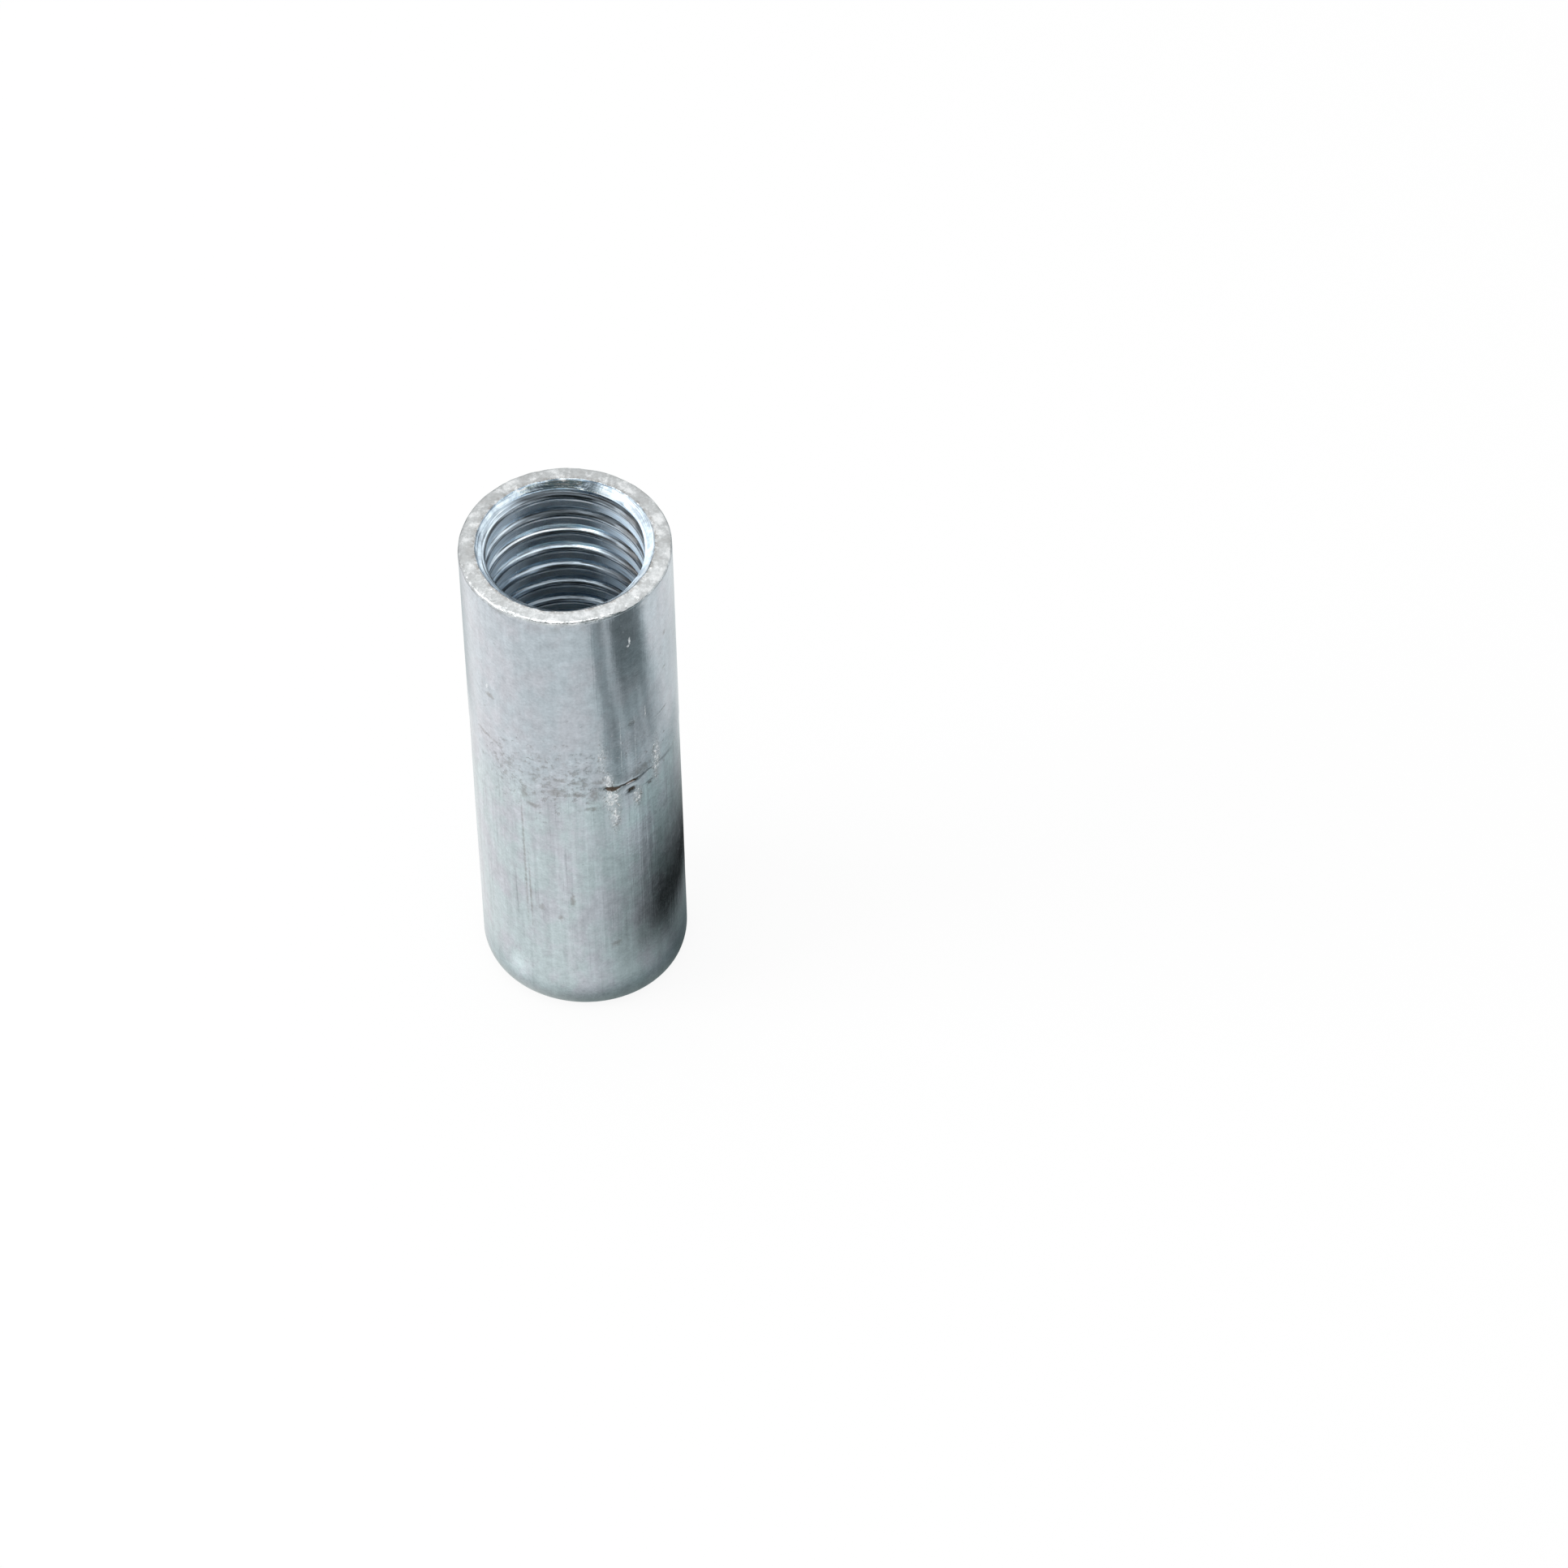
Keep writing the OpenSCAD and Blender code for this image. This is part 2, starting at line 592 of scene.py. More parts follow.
# Flakes off and on the scaly patch: noise level over which one is a pit or under which one is a glint
PIT_LEVELS = (0.68, 0.525)
GLINT_LEVELS = (0.30, 0.44)
PIT_EDGE = 0.09
GLINT_EDGE = 0.08
# Noise levels at which a kind of wear starts and is full
LINE_LEVELS = (0.62, 0.73)
SMUDGE_LEVELS = (0.50, 0.68)
# Pale blotches on the rim: partly worn metal, partly painted highlight
RIM_WEAR_AND_HIGHLIGHT_LEVELS = (0.5, 0.38)
DIRT_LEVELS = (0.46, 0.56)
SPECK_LEVELS = (0.54, 0.62)
CLOUD_LEVELS = (0.42, 0.60)
# Drawing lines above the mark are this share of those below it
LINES_ABOVE = 0.2
STREAKS_ABOVE = 0.4
# Scuffed metal: strength at which it starts and is full, noise level at no and at full strength, and edge
SCUFF_SPAN = (0.08, 0.25)
TORN_LEVELS = (0.64, 0.37)
TORN_EDGE = 0.08
# How bare a nick, a scratch and the scuffed metal in general are
NICK_BARE = 0.8
SCRATCH_BARE = 0.28
SCUFF_BARE = 0.45
# How far noise breaks up the painted shade of the fold, and where that shade starts and is full
FOLD_SHADE_BREAK = 0.6
FOLD_SHADE_SPAN = (0.05, 0.4)

# How much each pattern changes the tone of the barrel, and the painted light on the rim, lighter near and
# darker far
MOTTLE_TONE = 0.28
SPECKLE_TONE = 0.16
STREAK_TONE = 0.30
LINE_TONE = 0.20
GLINT_TONE = 0.14
RIM_PAINTED_LIGHT = (-6, 4, 0.2, -0.05)
# How much each kind of wear covers the plating; the rim's pale blotches are partly painted highlight
SMUDGE_COVER = 0.4
RIM_WEAR_AND_HIGHLIGHT_COVER = 0.6
DIRT_COVER = 0.55
PIT_COVER = 0.38
MARK_COVER = 0.5
BARE_COVER = 0.9
SPECK_COVER = 0.6

# Roughness of the barrel and the bore from the shiny to the dull mottles, and what the zones and wear add
BARREL_ROUGH = (0.07, 0.14)
BORE_ROUGH = (0.07, 0.13)
BELOW_ROUGH = 0.08
PIT_ROUGH = 0.15
BARE_ROUGH = 0.5
RIM_ROUGH = 0.08
CREST_ROUGH = 0.14
# How metallic the bare metal is
BARE_METAL = 0.3

# Relief in millimetres: streaks above and below the mark, and the other patterns
STREAK_RELIEF = (0.006, 0.024)
LINE_RELIEF = 0.006
MOTTLE_RELIEF = 0.010
SPECKLE_RELIEF = 0.003
PIT_RELIEF = 0.014
MARK_RELIEF = 0.012
TAP_RELIEF = 0.012
SCUFF_GRIT = 0.06
RIM_GRAIN = 0.028
CONE_GRIT = 0.02
DENT_RELIEF = 0.12
TORN_RELIEF = 0.05
# Share of the relief that is left above the mark, and in the bore
BUMPS_ABOVE = 0.35
RELIEF_INSIDE = 0.05

# Turns from +X, where the thread starts, to the back
BACK_TURN = 0.25
# Lines of the tap: how many to a pitch, and how many to a radian; the scores among them are closer
TAP_ACROSS = 13.0
TAP_ALONG = 1.5
TAP_NOISE = (4, 0.6)
SCORE_CLOSER = 2.2
SCORE_LEVELS = (0.52, 0.62)
# Lines along each turn of the thread: share of the pitch over the middle of the crest, and half width. They
# are painted shade at the upper edge of the crest, a painted highlight lower on the crest, painted shade on
# the upper flank and in the root, and a tap score.
THREAD_SHADE_LINE = (0.255, 0.075)
THREAD_HIGHLIGHT_LINE = (0.125, 0.05)
FLANK_SHADE_LINE = (0.375, 0.1)
ROOT_SHADE_LINE = (0.545, 0.09)
THREAD_SCORE = (0.372, 0.02)
# Share of its half width at which a line is full
LINE_CORE = 0.6
# Breaks in three of those lines: noise levels of the tap's lines, and the strength of the line at each
SHADE_LINE_BREAKS = (0.62, 0.45, 0.7, 1)
SCORE_BREAKS = (0.42, 0.56, 0, 0.9)
HIGHLIGHT_LINE_BREAKS = (0.4, 0.6, 0, 1)
# Tone of the bore: by the tap's lines, painted shade by the height that darkens it deeper in, and where
# scores, the painted shade lines and blots on the cone are
TAP_TONE = (0.25, 0.75, 0.9, 1.7)
DEPTH_SHADE = (22, 33, 0.88, 1.22)
SCORE_TONE = 0.55
SHADE_AND_SCORE_TONE = 0.08
CONE_TONE = (0.3, 0.6, 1, 0.5)
# Painted shade on the upper flank: by the height, darker deeper in, and to the right, and at the far side of
# the topmost turn
FLANK_SHADE_BY_HEIGHT = (27.6, 29.4, 0.4, 0.85)
FLANK_SHADE_TO_RIGHT = (1.8, 3.6, 1, 0.08)
TOPMOST_TURN = (31.4, 32.4)
FAR_SIDE = (3.2, 4.3)
TOPMOST_SHADE = 0.14
# Painted shade in the root of the thread
ROOT_SHADE = 0.8

# Single marks on the barrel: degrees right of the front, height, half width and half height in millimetres
MARKS = {
    "long line": (-31.0, 13.6, 0.07, 5.2),
    "short line": (-28.5, 10.5, 0.06, 2.6),
    "hook top": (-29.0, 19.4, 0.16, 0.5),
    "hook foot": (-23.5, 18.5, 0.4, 0.2),
    "brown left": (-10.0, 20.0, 0.45, 0.25),
    "brown right": (0.8, 19.9, 0.35, 0.2),
    "brown high": (2.6, 20.95, 0.28, 0.18),
    "fleck": (-6.6, 21.2, 0.36, 0.16),
    "left nick": (-49.0, 26.6, 0.35, 0.18),
    "left scratch": (-55.0, 22.7, 0.9, 0.12),
    "nick": (9.0, 18.5, 0.55, 0.14),
    "pit": (-4.1, 10.2, 0.14, 0.5),
    "low pit": (-11.0, 8.5, 0.16, 0.25),
    "left pit": (-21.9, 9.2, 0.18, 0.3),
    "right pit": (19.5, 5.8, 0.3, 0.22),
    "stripe pit": (34.5, 25.0, 0.22, 0.2),
    "right scratch": (58.0, 24.0, 0.5, 0.06),
    "right fleck": (62.0, 27.4, 0.16, 0.1),
    "high fleck": (64.0, 30.2, 0.14, 0.16),
    # Painted shade beside the fold, in the colour of a stain
    "fold shade": (40.0, 20.5, 0.6, 0.3),
    "dip shade": (11.0, 19.6, 0.35, 0.5),
    "dip end": (13.0, 20.85, 0.4, 0.16),
}
# Bare metal in small nicks, in the same order
NICKS = {
    "hook": (35.5, 32.1, 0.06, 0.28),
    "hook end": (34.5, 31.75, 0.09, 0.07),
    "left": (-51.0, 27.2, 0.08, 0.2),
    "stripe": (44.0, 25.2, 0.04, 0.4),
}
# Faint bright scratches in the dark stripe, in the same order
SCRATCHES = {
    "left": (27.2, 23.6, 0.03, 2.2),
    "right": (36.3, 23.2, 0.035, 2.2),
}
# How ragged the edge of a mark is, and where that edge starts and ends
MARK_RAGGED = 1.5
MARK_EDGE = (1.9, -0.4)


def single_marks(sheet, place, ragged, marks):
    """1 on the marks that are drawn one by one, with soft and ragged edges."""
    height = sheet.split(place)["Z"]
    across = sheet.times(sheet.radians_from_front(place), BARREL_R)
    rough_edge = sheet.range(ragged, *NOISE_SPAN, -MARK_RAGGED, MARK_RAGGED)
    total = 0.0
    for angle, middle_height, half_width, half_height in marks.values():
        side = sheet.sum("DIVIDE", sheet.minus(across, math.radians(angle) * BARREL_R), half_width)
        rise = sheet.sum("DIVIDE", sheet.minus(height, middle_height), half_height)
        from_middle = sheet.plus(sheet.sum("POWER", side, 2), sheet.sum("POWER", rise, 2))
        total = sheet.most(total, sheet.range(sheet.plus(from_middle, rough_edge), *MARK_EDGE))
    return total


def thread_climb(sheet, place):
    """Pitches that a place lies above the middle of a crest, and the angle round the axis from the back."""
    angle = sheet.radians_from_front(sheet.stretch(place, (-1, -1, 1)))
    turns = sheet.plus(sheet.times(angle, 0.5 / math.pi), THREAD_TURN + BACK_TURN)
    return sheet.minus(sheet.sum("DIVIDE", sheet.split(place)["Z"], PITCH), turns), angle


def tap_lines(sheet, climb, angle):
    """Fine lines that the tap left along the thread."""
    inputs = {0: sheet.times(climb, TAP_ACROSS), 1: sheet.times(angle, TAP_ALONG)}
    track = sheet.add("ShaderNodeCombineXYZ", inputs).outputs[0]
    return sheet.noise(track, *TAP_NOISE)


def thread_line(sheet, climb, middle, half_width):
    """1 on one line along every turn of the thread."""
    from_middle = sheet.away(sheet.sum("FRACT", climb), middle)
    return sheet.range(from_middle, half_width, half_width * LINE_CORE)


def plating_zones(sheet, place):
    """Zones of the nut, from 0 to 1, with the measures that they come from."""
    zone = SimpleNamespace()
    parts = sheet.split(place)
    zone.height = parts["Z"]
    zone.to_right = parts["X"]
    zone.to_back = parts["Y"]
    radius = sheet.reach_from_axis(place)
    # Painted shade in the fold, by its depth
    zone.fold = sheet.add("ShaderNodeAttribute", {}, attribute_name="fold").outputs["Fac"]
    zone.scuff = sheet.add("ShaderNodeAttribute", {}, attribute_name="scuff").outputs["Fac"]
    zone.below = sheet.range(zone.height, *BELOW_ZONE)
    zone.drawn = sheet.times(zone.below, sheet.range(zone.height, *DRAWN_ZONE))
    zone.foot = sheet.range(zone.height, *FOOT_ZONE)
    zone.bore = sheet.range(radius, *BORE_ZONE)
    zone.crest = sheet.range(radius, *CREST_ZONE)
    zone.barrel = sheet.minus(1, zone.bore)
    mouth = sheet.range(zone.height, *MOUTH_ZONE)
    zone.top = sheet.times(mouth, zone.barrel)
    zone.cone = sheet.times(mouth, zone.bore)
    zone.rim = sheet.times(sheet.range(zone.height, *RIM_ZONE), zone.barrel)
    zone.rim_edge = sheet.times(sheet.range(radius, *RIM_EDGE_ZONE), zone.rim)
    by_mark = sheet.range(sheet.away(zone.height, SCALE_HEIGHT), *SCALE_FADE)
    from_scale = sheet.away(sheet.degrees_from_front(place), SCALE_ANGLE)
    zone.scaly = sheet.times(by_mark, sheet.range(from_scale, *SCALE_TURN_FADE))
    walls = sheet.most(sheet.range(zone.to_right, *RIGHT_WALL), sheet.range(zone.to_right, *LEFT_WALL))
    walls = sheet.most(walls, sheet.range(zone.to_back, *NEAR_WALL))
    zone.walls = sheet.times(walls, zone.bore)
    return zone


def plating_patterns(sheet, place):
    """All the noise patterns of the plating, by name."""
    pattern = SimpleNamespace()
    for name, (across, along, detail, roughness) in PATTERNS.items():
        track = sheet.stretch(place, (across, across, along))
        setattr(pattern, name, sheet.noise(track, detail, roughness))
    return pattern


def plating_wear(sheet, place, zone, pattern):
    """Where each kind of wear lies, with the painted shade of the fold and the painted highlight in the
    rim's pale blotches, from 0 to 1.
    """
    wear = SimpleNamespace()
    dark_flakes = sheet.minus(pattern.flakes, sheet.between(zone.scaly, *PIT_LEVELS))
    light_flakes = sheet.minus(sheet.between(zone.scaly, *GLINT_LEVELS), pattern.flakes)
    wear.pits = sheet.times(sheet.range(dark_flakes, 0, PIT_EDGE), zone.barrel)
    wear.glints = sheet.times(sheet.range(light_flakes, 0, GLINT_EDGE), zone.barrel)
    lines = sheet.range(pattern.lines, *LINE_LEVELS)
    wear.lines = sheet.times(lines, sheet.between(zone.drawn, LINES_ABOVE, 1))
    wear.marks = sheet.times(single_marks(sheet, place, pattern.ragged, MARKS), zone.barrel)
    nicks = sheet.times(single_marks(sheet, place, pattern.ragged, NICKS), zone.barrel)
    scratches = sheet.times(single_marks(sheet, place, pattern.ragged, SCRATCHES), zone.barrel)
    wear.smudges = sheet.times(sheet.range(pattern.blots, *SMUDGE_LEVELS), zone.top)
    # Pale blotches on the rim, partly worn metal and partly painted highlight
    wear.rim = sheet.times(sheet.range(pattern.blots, *RIM_WEAR_AND_HIGHLIGHT_LEVELS), zone.rim)
    wear.dirt = sheet.times(sheet.range(pattern.grit, *DIRT_LEVELS), zone.rim_edge)
    scuffed = sheet.range(zone.scuff, *SCUFF_SPAN)
    torn_off = sheet.minus(pattern.torn, sheet.between(zone.scuff, *TORN_LEVELS))
    wear.bare = sheet.times(sheet.range(torn_off, 0, TORN_EDGE), scuffed)
    for part, share in [(nicks, NICK_BARE), (scratches, SCRATCH_BARE), (zone.scuff, SCUFF_BARE)]:
        wear.bare = sheet.most(wear.bare, sheet.times(part, share))
    wear.specks = sheet.times(sheet.range(pattern.dots, *SPECK_LEVELS), scuffed)
    # Painted shade in the fold, broken up by noise
    broken = sheet.minus(zone.fold, sheet.range(pattern.torn, *NOISE_SPAN, 0, FOLD_SHADE_BREAK))
    wear.fold = sheet.range(broken, *FOLD_SHADE_SPAN)
    return wear


def bore_looks(sheet, place, zone, pattern):
    """Tone of the bore with painted shade deeper in, on the upper flanks, in the roots and at the crest
    edges, the painted highlight lines of its thread, and the fine lines of the tap.
    """
    climb, angle = thread_climb(sheet, place)
    winding = tap_lines(sheet, climb, angle)
    scores = sheet.range(tap_lines(sheet, sheet.times(climb, SCORE_CLOSER), angle), *SCORE_LEVELS)
    # Painted shade along the upper edge of each crest
    dark = sheet.times(thread_line(sheet, climb, *THREAD_SHADE_LINE), sheet.range(winding, *SHADE_LINE_BREAKS))
    score = sheet.times(thread_line(sheet, climb, *THREAD_SCORE), sheet.range(winding, *SCORE_BREAKS))
    # Painted highlight lower on each crest
    light = sheet.times(thread_line(sheet, climb, *THREAD_HIGHLIGHT_LINE), sheet.range(winding, *HIGHLIGHT_LINE_BREAKS))
    # Painted shade on the upper flank, deepest low in the bore, to the right and at the far side of the
    # topmost turn
    topmost = sheet.times(sheet.range(zone.height, *TOPMOST_TURN), sheet.range(zone.to_back, *FAR_SIDE))
    flank = sheet.times(sheet.range(zone.height, *FLANK_SHADE_BY_HEIGHT), sheet.between(topmost, 1, TOPMOST_SHADE))
    flank = sheet.times(flank, sheet.range(zone.to_right, *FLANK_SHADE_TO_RIGHT))
    # Painted shade by depth, at the crest edges, on the flanks and in the roots, with the tap's scores and
    # the blots on the cone
    tones = [
        sheet.range(zone.height, *DEPTH_SHADE),
        sheet.between(scores, 1, SCORE_TONE),
        sheet.between(sheet.most(dark, score), 1, SHADE_AND_SCORE_TONE),
        sheet.range(sheet.times(zone.cone, pattern.blots), *CONE_TONE),
        sheet.between(thread_line(sheet, climb, *FLANK_SHADE_LINE), 1, flank),
        sheet.between(thread_line(sheet, climb, *ROOT_SHADE_LINE), 1, ROOT_SHADE),
    ]
    total = sheet.range(winding, *TAP_TONE)
    for tone in tones:
        total = sheet.times(total, tone)
    return SimpleNamespace(tone=total, light=light, winding=winding)


def barrel_colour(sheet, zone, pattern, wear):
    """Colour of the plating on the outside, with painted light on the rim, lighter near and darker far, and
    a greyer foot band that stands in for the shade that the foot mirrors.
    """
    streaks = sheet.between(pattern.streak, -STREAK_TONE, STREAK_TONE)
    tone = sheet.between(pattern.mottle, 1 - MOTTLE_TONE, 1 + MOTTLE_TONE)
    tone = sheet.plus(tone, sheet.between(pattern.speckle, -SPECKLE_TONE, SPECKLE_TONE))
    tone = sheet.minus(tone, sheet.times(streaks, sheet.between(zone.drawn, STREAKS_ABOVE, 1)))
    tone = sheet.minus(tone, sheet.times(wear.lines, LINE_TONE))
    tone = sheet.plus(tone, sheet.times(wear.glints, GLINT_TONE))
    zinc = sheet.blend(zone.below, ZINC_UPPER, ZINC_LOWER)
    zinc = sheet.blend(sheet.range(pattern.cloud, *CLOUD_LEVELS), zinc, ZINC_LILAC)
    # Greyer foot band, standing in for the mirrored shade under the foot
    zinc = sheet.blend(zone.foot, zinc, ZINC_FOOT_REFLECTED_SHADE)
    zinc = sheet.blend(zone.rim, zinc, ZINC_RIM)
    # Painted light on the rim: lighter at the near side, darker at the far side
    rim_light = sheet.times(zone.rim, sheet.range(zone.to_back, *RIM_PAINTED_LIGHT))
    return sheet.dim(sheet.dim(zinc, tone), sheet.plus(1, rim_light))


def plating_colour(sheet, zone, pattern, wear, inside):
    """Colour of the plating with all that covers it, painted shade and painted highlights among it."""
    # Painted highlight lines along the thread, in the colour of bare metal
    tapped = sheet.blend(inside.light, sheet.dim(ZINC_BORE, inside.tone), ZINC_BARE)
    zinc = sheet.blend(zone.bore, barrel_colour(sheet, zone, pattern, wear), tapped)
    covers = [
        (wear.smudges, SMUDGE_COVER, SMUDGE),
        # Pale blotches on the rim: worn metal and painted highlight
        (wear.rim, RIM_WEAR_AND_HIGHLIGHT_COVER, ZINC_BARE),
        (wear.dirt, DIRT_COVER, STAIN),
        (wear.pits, PIT_COVER, STAIN),
        (wear.marks, MARK_COVER, STAIN),
        (wear.bare, BARE_COVER, ZINC_BARE),
        (wear.specks, SPECK_COVER, STAIN),
        # Painted shade in the fold
        (wear.fold, 1.0, FOLD_SHADE_COLOUR),
    ]
    for part, cover, colour in covers:
        zinc = sheet.blend(sheet.times(part, cover), zinc, colour)
    return zinc


def plating_roughness(sheet, zone, pattern, wear):
    """Roughness of the plating, which is shiniest in the bore."""
    outside = sheet.range(pattern.mottle, *NOISE_SPAN, *BARREL_ROUGH)
    added = [
        (zone.below, BELOW_ROUGH),
        (wear.pits, PIT_ROUGH),
        (wear.bare, BARE_ROUGH),
        (zone.rim, RIM_ROUGH),
    ]
    for part, rough in added:
        outside = sheet.plus(outside, sheet.times(part, rough))
    inside = sheet.range(pattern.mottle, *NOISE_SPAN, *BORE_ROUGH)
    inside = sheet.plus(inside, sheet.times(zone.crest, CREST_ROUGH))
    return sheet.plus(sheet.times(outside, zone.barrel), sheet.times(inside, zone.bore))


def plating_relief(sheet, zone, pattern, wear, winding):
    """Fine relief of the plating, in millimetres."""
    relief = sheet.times(pattern.streak, sheet.between(zone.drawn, *STREAK_RELIEF))
    bumps = sheet.times(pattern.mottle, MOTTLE_RELIEF)
    bumps = sheet.plus(bumps, sheet.times(pattern.speckle, SPECKLE_RELIEF))
    bumpy = sheet.between(sheet.most(zone.below, zone.scaly), BUMPS_ABOVE, 1)
    relief = sheet.plus(relief, sheet.times(bumps, bumpy))
    for part, depth in [(wear.lines, LINE_RELIEF), (wear.pits, PIT_RELIEF), (wear.marks, MARK_RELIEF)]:
        relief = sheet.minus(relief, sheet.times(part, depth))
    relief = sheet.times(relief, sheet.between(zone.bore, 1, RELIEF_INSIDE))
    added = [
        (winding, zone.bore, TAP_RELIEF),
        (pattern.grit, zone.scuff, SCUFF_GRIT),
        (pattern.grit, zone.rim, RIM_GRAIN),
        (pattern.grit, zone.cone, CONE_GRIT),
        (pattern.dents, zone.rim, DENT_RELIEF),
        (pattern.torn, zone.scuff, TORN_RELIEF),
    ]
    for rough, part, depth in added:
        relief = sheet.plus(relief, sheet.times(rough, sheet.times(part, depth)))
    return relief


def zinc_plating():
    """Worn zinc plate: mottled, with drawing lines below the mark, stains, pits and a shiny bore, with
    painted shade in the fold and along the thread, and painted highlights on the rim and along the thread.
    """
    sheet = Sheet("zinc_plating")
    place = sheet.place_in_mm()
    zone = plating_zones(sheet, place)
    pattern = plating_patterns(sheet, place)
    wear = plating_wear(sheet, place, zone, pattern)
    inside = bore_looks(sheet, place, zone, pattern)
    relief = plating_relief(sheet, zone, pattern, wear, inside.winding)
    bump = sheet.add("ShaderNodeBump", {"Height": relief, "Distance": MM, "Strength": 1.0})
    # The painted highlight lines of the thread are as dull as bare metal
    bare = sheet.most(wear.bare, sheet.times(inside.light, zone.bore))
    metal = sheet.sum("MINIMUM", sheet.between(bare, 1, BARE_METAL), sheet.minus(1, zone.walls))
    inputs = {
        "Base Color": plating_colour(sheet, zone, pattern, wear, inside),
        "Metallic": metal,
        "Roughness": plating_roughness(sheet, zone, pattern, wear),
        "Normal": bump.outputs[0],
    }
    return sheet.finish(sheet.add("ShaderNodeBsdfPrincipled", inputs))


# Stage

WHITE = (1, 1, 1, 1)
FLOOR_HALF = 1500
FLOOR_COLOUR = (0.94, 0.94, 0.94, 1)
FLOOR_GLOW = 0.88
WORLD_STRENGTH = 0.8
# Softboxes: place, width and depth in millimetres, and the brightness that they show
SOFTBOXES = {
    "top_softbox": ((-60, -40, 420), 260, 260, 1.3),
    "back_softbox": ((-60, 330, 400), 420, 260, 0.1),
    "left_softbox": ((-420, -60, 260), 240, 240, 4.2),
}
# Dark card in front: middle, half width and half height in millimetres, and brightness
FRONT_FLAG = ((0, -285, 295), 420, 165, 0.1)
# Soft edges of that card at its sides and ends, as shares of its size from its middle
FLAG_SIDES = (0.5, 0.2)
FLAG_ENDS = (0.5, 0.4)
# How much bluer the darkest mirror image is, and the part of that which goes to the blue
SLATE = 0.2
SLATE_BLUE = 0.2
# Ring-shaped card that lies on the floor round the nut and shows only in the metal, in millimetres
CARD_LIFT = 0.05
CARD_HOLE = 5.72
CARD_REACH = 170
# Brightness of that card by the angle to the right of the front, in degrees: far from the nut
FAR_TONES = [
    (-180, 0.62), (-150, 0.66), (-120, 1.04), (-80, 0.98), (-50, 0.87), (-25, 0.81), (0, 0.78), (15, 0.74),
    (25.5, 0.68), (28.5, 0.40), (38, 0.36), (43.8, 0.56), (47.5, 0.44), (52, 0.22), (58, 0.18), (76, 0.18),
    (82, 0.24), (87, 0.36), (91, 0.57), (97, 0.83), (125, 0.86), (150, 0.86), (180, 0.62),
]
# Nearer to the nut
MID_TONES = [
    (-180, 0.62), (-150, 0.66), (-120, 1.02), (-80, 0.97), (-50, 0.87), (-25, 0.81), (0, 0.78), (15, 0.73),
    (25, 0.67), (28, 0.60), (31, 0.42), (39, 0.29), (44, 0.37), (49, 0.54), (53, 0.42), (57, 0.34),
    (62.5, 0.48), (66, 0.36), (71, 0.50), (77, 0.34), (82, 0.46), (87, 0.54), (95, 0.62), (103, 0.74),
    (125, 0.73), (150, 0.68), (180, 0.62),
]
# Close to the nut
NEAR_TONES = [
    (-180, 0.78), (-130, 0.95), (-90, 0.94), (-58, 0.88), (-10, 0.86), (4, 0.76), (20, 0.64), (34, 0.58),
    (47, 0.54), (60, 0.44), (75, 0.30), (115, 0.38), (150, 0.75), (180, 0.78),
]
# Painted contact shadow: a darker ring where the card meets the foot
FOOT_SHADOW_TONES = [(-180, 0.7), (-110, 0.9), (-40, 0.80), (0, 0.44), (60, 0.5), (180, 0.7)]
# Reaches between which one of these gives way to the next: middle to far, close to middle, and the foot
MID_TO_FAR = (28.0, 33.0)
NEAR_TO_MID = (21.5, 24.0)
FOOT_SHADE = (8.2, 7.2)
# The stripes lean between two reaches, by degrees to a millimetre that grow from a left angle to a right one
LEAN_FROM = 29.5
LEAN_TO = 38.0
LEANS = (27, 89, 0.7, 1.9)
# Dark side at the lower right: angles of its start and end, its outer edge and its foot, and its depth
SIDE_START = (12, 75)
SIDE_END = (190, 165)
SIDE_REACH = (19.5, 12.0)
SIDE_FOOT = (7.5, 10.4, 0.25, 1)
SIDE_DARK = 0.97
# Lighter patches: degrees right of the front and their reach, distance from the axis, its spread, and level
PATCHES = {
    "by the foot": (-50, 11, 8.0, 0.8, 0.4),
    "under the mark": (70, 48, 21.2, 3.6, 0.6),
}
PATCH_FLAT = 0.4


def shown_or_mirrored(tree):
    """1 for a ray that shows or mirrors the background, 0 for one that lights."""
    path = tree.nodes.new("ShaderNodeLightPath")
    total = path.outputs["Is Camera Ray"]
    for kind in ("Is Glossy Ray", "Is Transmission Ray"):
        either = tree.nodes.new("ShaderNodeMath")
        either.operation = "MAXIMUM"
        tree.links.new(total, either.inputs[0])
        tree.links.new(path.outputs[kind], either.inputs[1])
        total = either.outputs[0]
    return total


def make_world():
    """A white background that lights the nut a little less than it shows."""
    world = bpy.data.worlds.new("studio")
    bpy.context.scene.world = world
    world.use_nodes = True
    tree = world.node_tree
    strength = tree.nodes.new("ShaderNodeMapRange")
    strength.inputs["To Min"].default_value = WORLD_STRENGTH
    strength.inputs["To Max"].default_value = 1.0
    tree.links.new(shown_or_mirrored(tree), strength.inputs["Value"])
    background = tree.nodes["Background"]
    background.inputs["Color"].default_value = WHITE
    tree.links.new(strength.outputs[0], background.inputs["Strength"])


def make_plane(name, corners):
    """A flat stage card through the given corners, in millimetres."""
    data = bpy.data.meshes.new(name)
    data.from_pydata([Vector(corner) * MM for corner in corners], [], [list(range(len(corners)))])
    card = bpy.data.objects.new(name, data)
    bpy.context.collection.objects.link(card)
    return card


